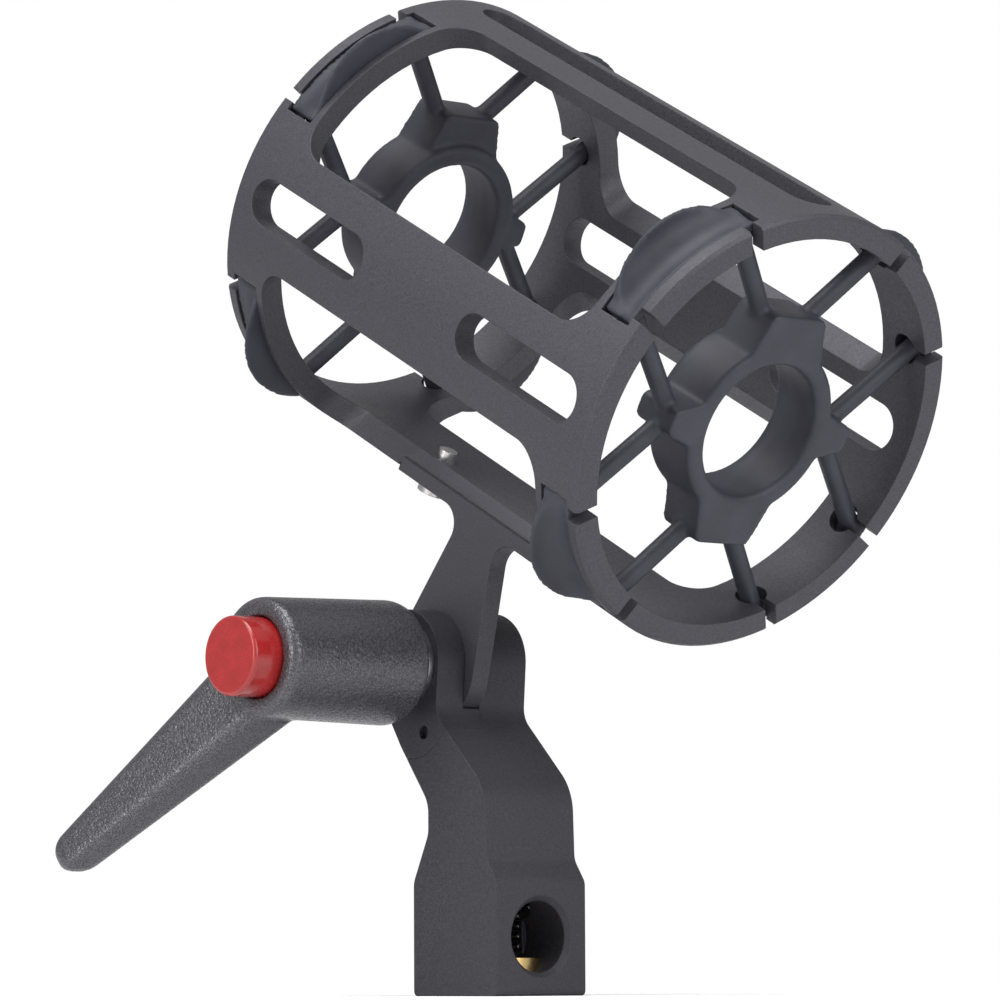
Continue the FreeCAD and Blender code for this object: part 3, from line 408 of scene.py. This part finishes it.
def thread_mesh(name, low, high, settings):
    """Helical ridge of the pole thread between two heights, broken at the cross hole."""
    root = THREAD_RADIUS + THREAD_SUNK
    crest = THREAD_RADIUS - settings.thread_height
    pitch = settings.thread_pitch
    profile = ((root, -ROOT_SHARE), (crest, -CREST_SHARE), (crest, CREST_SHARE), (root, ROOT_SHARE))
    made = bmesh.new()
    before = None
    first = int(low / pitch * THREAD_STEPS) + THREAD_STEPS // 2
    last = int(high / pitch * THREAD_STEPS) - THREAD_STEPS // 2
    for step in range(first, last + 1):
        turn = step / THREAD_STEPS
        across, along = math.cos(2 * math.pi * turn), math.sin(2 * math.pi * turn)
        ring = None
        if not in_cross_hole(Vector((crest * across, crest * along, pitch * turn))):
            ring = [made.verts.new((radius * across, radius * along, (turn + rise) * pitch))
                    for radius, rise in profile]
        if ring and before:
            for i in range(len(profile)):
                j = (i + 1) % len(profile)
                made.faces.new((before[i], ring[i], ring[j], before[j]))
        elif ring:
            made.faces.new(ring)
        elif before:
            made.faces.new(reversed(before))
        before = ring
    if before:
        made.faces.new(reversed(before))
    bmesh.ops.recalc_face_normals(made, faces=made.faces)
    mesh = bpy.data.meshes.new(name)
    made.to_mesh(mesh)
    made.free()
    return mesh


class MOUNT_OT_cage(bpy.types.Operator):
    """Finish the cage and the neck that carries it"""

    bl_idname = "shock_mount.cage"
    bl_label = "Cage and neck"

    def execute(self, context):
        material = anodised("cage_anodised", finish_settings().cage_colour)
        for node in ("cage_frame", "neck_bracket"):
            dress(node, material)
        return {"FINISHED"}


class MOUNT_OT_adaptor(bpy.types.Operator):
    """Finish the pole adaptor and the clamp jaw"""

    bl_idname = "shock_mount.adaptor"
    bl_label = "Adaptor and jaw"

    def execute(self, context):
        material = anodised("adaptor_anodised", finish_settings().adaptor_colour, 0.50)
        for node in ("pole_adaptor", "clamp_jaw"):
            dress(node, material)
        return {"FINISHED"}


class MOUNT_OT_fasteners(bpy.types.Operator):
    """Finish the screws, bolt, washer, pin and threaded bush"""

    bl_idname = "shock_mount.fasteners"
    bl_label = "Fasteners"

    def execute(self, context):
        nickel = turned_metal("screw_nickel", *NICKEL)
        blackened = turned_metal("steel_blackened", *BLACKENED)
        zinc = turned_metal("washer_zinc", *ZINC)
        oiled = turned_metal("pin_oiled", *OILED)
        finishes = {
            "foot_screw_front": nickel, "foot_screw_rear": nickel, "lever_screw": nickel,
            "thrust_washer": zinc, "pivot_bolt": blackened,
            "lever_insert": blackened, "jaw_pin": oiled,
        }
        for node, material in finishes.items():
            dress(node, material)
        return {"FINISHED"}


class MOUNT_OT_suspensions(bpy.types.Operator):
    """Mould the two rubber suspensions"""

    bl_idname = "shock_mount.suspensions"
    bl_label = "Rubber suspensions"

    def execute(self, context):
        settings = moulding_settings()
        material = rubber()
        for end in ("front", "rear"):
            softened("suspension_" + end, "rubber_" + end, settings.rubber_voxel,
                     settings.rubber_passes, material)
        return {"FINISHED"}


class MOUNT_OT_lever(bpy.types.Operator):
    """Cast the clamp lever"""

    bl_idname = "shock_mount.lever"
    bl_label = "Clamp lever"

    def execute(self, context):
        settings = moulding_settings()
        softened("lever_handle", "cast_lever", settings.lever_voxel, settings.lever_passes,
                 powder_coat())
        return {"FINISHED"}


class MOUNT_OT_button(bpy.types.Operator):
    """Finish the red push button and the spring that it shortens"""

    bl_idname = "shock_mount.button"
    bl_label = "Push button"

    def execute(self, context):
        dress("push_button", red_plastic())
        node = "button_spring"
        wire = turned_metal("spring_wire", *NICKEL)
        spring = piece_from(frame["nodes"][node].data.copy(), "coil_spring", wire, node)
        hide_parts(node)
        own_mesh(spring)
        return {"FINISHED"}


class MOUNT_OT_thread(bpy.types.Operator):
    """Finish the brass insert and cut the pole thread"""

    bl_idname = "shock_mount.thread"
    bl_label = "Pole thread"

    def execute(self, context):
        settings = moulding_settings()
        brass = turned_metal("insert_brass", *BRASS)
        dress("thread_insert", brass)
        bare = turned_metal("thread_bare", *BARE)
        for name, node, low, high, material in (
                ("thread_in_insert", "thread_insert", 0.0, INSERT_TOP, brass),
                ("thread_in_adaptor", "pole_adaptor", INSERT_TOP, THREAD_DEPTH, bare)):
            piece = piece_from(thread_mesh(name, low, high, settings), name, material, node)
        return {"FINISHED"}


def camera_axes(stage):
    """Right, up and back directions of the camera."""
    azimuth = stage.camera_azimuth
    elevation = stage.camera_elevation
    flat = Vector((-math.sin(azimuth), math.cos(azimuth), 0))
    ahead = flat * math.cos(elevation) + Vector((0, 0, math.sin(elevation)))
    level = ahead.cross(Vector((0, 0, 1))).normalized()
    upright = level.cross(ahead)
    up = upright * math.cos(stage.camera_roll) - level * math.sin(stage.camera_roll)
    return ahead.cross(up), up, -ahead


def add_camera(stage):
    """Camera at the photograph's place."""
    data = bpy.data.cameras.new("camera")
    data.sensor_width = 36
    data.lens = stage.lens
    data.clip_start = 0.05
    data.clip_end = 20
    camera = bpy.data.objects.new("camera", data)
    bpy.context.scene.collection.objects.link(camera)
    right, up, back = camera_axes(stage)
    turn = Matrix((right, up, back)).transposed().to_4x4()
    camera.matrix_world = Matrix.Translation(Vector(stage.camera_place)) @ turn
    bpy.context.scene.camera = camera


def add_lamp(name, place, aim, width, height, power):
    """Soft rectangular lamp that points at a place."""
    data = bpy.data.lights.new(name, "AREA")
    data.shape = "RECTANGLE"
    data.size = width
    data.size_y = height
    data.energy = power
    lamp = bpy.data.objects.new(name, data)
    bpy.context.scene.collection.objects.link(lamp)
    lamp.location = place
    lamp.rotation_mode = "QUATERNION"
    lamp.rotation_quaternion = (Vector(aim) - Vector(place)).to_track_quat("-Z", "Y")


def add_floor(stage):
    """Wide pale floor that shows as white to the camera."""
    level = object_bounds()[0].z
    mesh = bpy.data.meshes.new("floor")
    corners = [(FLOOR_REACH * x, FLOOR_REACH * y, level)
               for x, y in ((-1, -1), (1, -1), (1, 1), (-1, 1))]
    mesh.from_pydata(corners, [], [(0, 1, 2, 3)])
    floor = bpy.data.objects.new("floor", mesh)
    bpy.context.scene.collection.objects.link(floor)
    mesh.materials.append(floor_material(stage))
    floor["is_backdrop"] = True


def floor_material(stage):
    """Pale floor that keeps the shadow near the object and turns white away from it."""
    made = Shader("floor_pale", stage.floor_colour, 0.9, specular=0.1)
    nodes = made.tree.nodes
    distance = nodes.new("ShaderNodeVectorMath")
    distance.operation = "LENGTH"
    made.link(made.place, distance.inputs[0])
    fade = nodes.new("ShaderNodeMapRange")
    fade.inputs["From Min"].default_value = FADE_START
    fade.inputs["From Max"].default_value = FADE_END
    made.link(distance.outputs["Value"], fade.inputs["Value"])
    white = nodes.new("ShaderNodeEmission")
    lift = nodes.new("ShaderNodeEmission")
    lift.inputs["Strength"].default_value = stage.floor_lift
    lifted = nodes.new("ShaderNodeAddShader")
    made.link(made.shader.outputs["BSDF"], lifted.inputs[0])
    made.link(lift.outputs["Emission"], lifted.inputs[1])
    seen = nodes.new("ShaderNodeMixShader")
    made.link(fade.outputs["Result"], seen.inputs["Fac"])
    made.link(lifted.outputs["Shader"], seen.inputs[1])
    made.link(white.outputs["Emission"], seen.inputs[2])
    path = nodes.new("ShaderNodeLightPath")
    whole = nodes.new("ShaderNodeMixShader")
    made.link(path.outputs["Is Camera Ray"], whole.inputs["Fac"])
    made.link(made.shader.outputs["BSDF"], whole.inputs[1])
    made.link(seen.outputs["Shader"], whole.inputs[2])
    made.link(whole.outputs["Shader"], nodes["Material Output"].inputs["Surface"])
    return made.done()


def light_world(stage):
    """White surround: plain white to the camera, softer as light and in reflections."""
    world = bpy.data.worlds.new("surround")
    bpy.context.scene.world = world
    world.use_nodes = True
    tree = world.node_tree
    background = tree.nodes["Background"]
    background.inputs["Color"].default_value = (1, 1, 1, 1)
    path = tree.nodes.new("ShaderNodeLightPath")
    strength = tree.nodes.new("ShaderNodeMix")
    strength.data_type = "FLOAT"
    strength.inputs[2].default_value = stage.world_strength
    strength.inputs[3].default_value = 1.0
    tree.links.new(path.outputs["Is Camera Ray"], strength.inputs[0])
    tree.links.new(strength.outputs[0], background.inputs["Strength"])


class MOUNT_OT_stage(bpy.types.Operator):
    """Set up the floor, the lamps, the surround and the camera"""

    bl_idname = "shock_mount.stage"
    bl_label = "Studio"

    def execute(self, context):
        stage = stage_settings()
        low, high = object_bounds()
        aim = (low + high) / 2
        add_camera(stage)
        for name, place, width, height, power in LAMPS:
            add_lamp(name, place, aim, width, height, getattr(stage, power))
        add_floor(stage)
        light_world(stage)
        context.scene.view_settings.view_transform = "Standard"
        return {"FINISHED"}


OPERATORS = (
    MOUNT_OT_cage, MOUNT_OT_adaptor, MOUNT_OT_fasteners, MOUNT_OT_suspensions,
    MOUNT_OT_lever, MOUNT_OT_button, MOUNT_OT_thread, MOUNT_OT_stage,
)
GROUPS = (
    ("mount_finish", MountFinish),
    ("mount_moulding", MountMoulding),
    ("mount_stage", MountStage),
)


class MOUNT_PT_panel(bpy.types.Panel):
    """Settings and steps of the shock mount"""

    bl_idname = "MOUNT_PT_panel"
    bl_label = "Microphone shock mount"
    bl_space_type = "VIEW_3D"
    bl_region_type = "UI"
    bl_category = "Shock mount"

    def draw(self, context):
        for name, group in GROUPS:
            settings = getattr(context.scene, name)
            column = self.layout.column()
            for key in group.__annotations__:
                column.prop(settings, key)
        for operator in OPERATORS:
            self.layout.operator(operator.bl_idname)


def register():
    """Register the classes and attach the settings to the scene."""
    for name, group in GROUPS:
        bpy.utils.register_class(group)
        setattr(bpy.types.Scene, name, PointerProperty(type=group))
    for operator in OPERATORS:
        bpy.utils.register_class(operator)
    bpy.utils.register_class(MOUNT_PT_panel)


def unregister():
    """Take the classes and settings away again."""
    bpy.utils.unregister_class(MOUNT_PT_panel)
    for operator in reversed(OPERATORS):
        bpy.utils.unregister_class(operator)
    for name, group in reversed(GROUPS):
        delattr(bpy.types.Scene, name)
        bpy.utils.unregister_class(group)


def main():
    """Make everything in order."""
    register()
    bpy.ops.shock_mount.cage()
    bpy.ops.shock_mount.adaptor()
    bpy.ops.shock_mount.fasteners()
    bpy.ops.shock_mount.suspensions()
    bpy.ops.shock_mount.lever()
    bpy.ops.shock_mount.button()
    bpy.ops.shock_mount.thread()
    bpy.ops.shock_mount.stage()


if __name__ == "__main__":
    main()
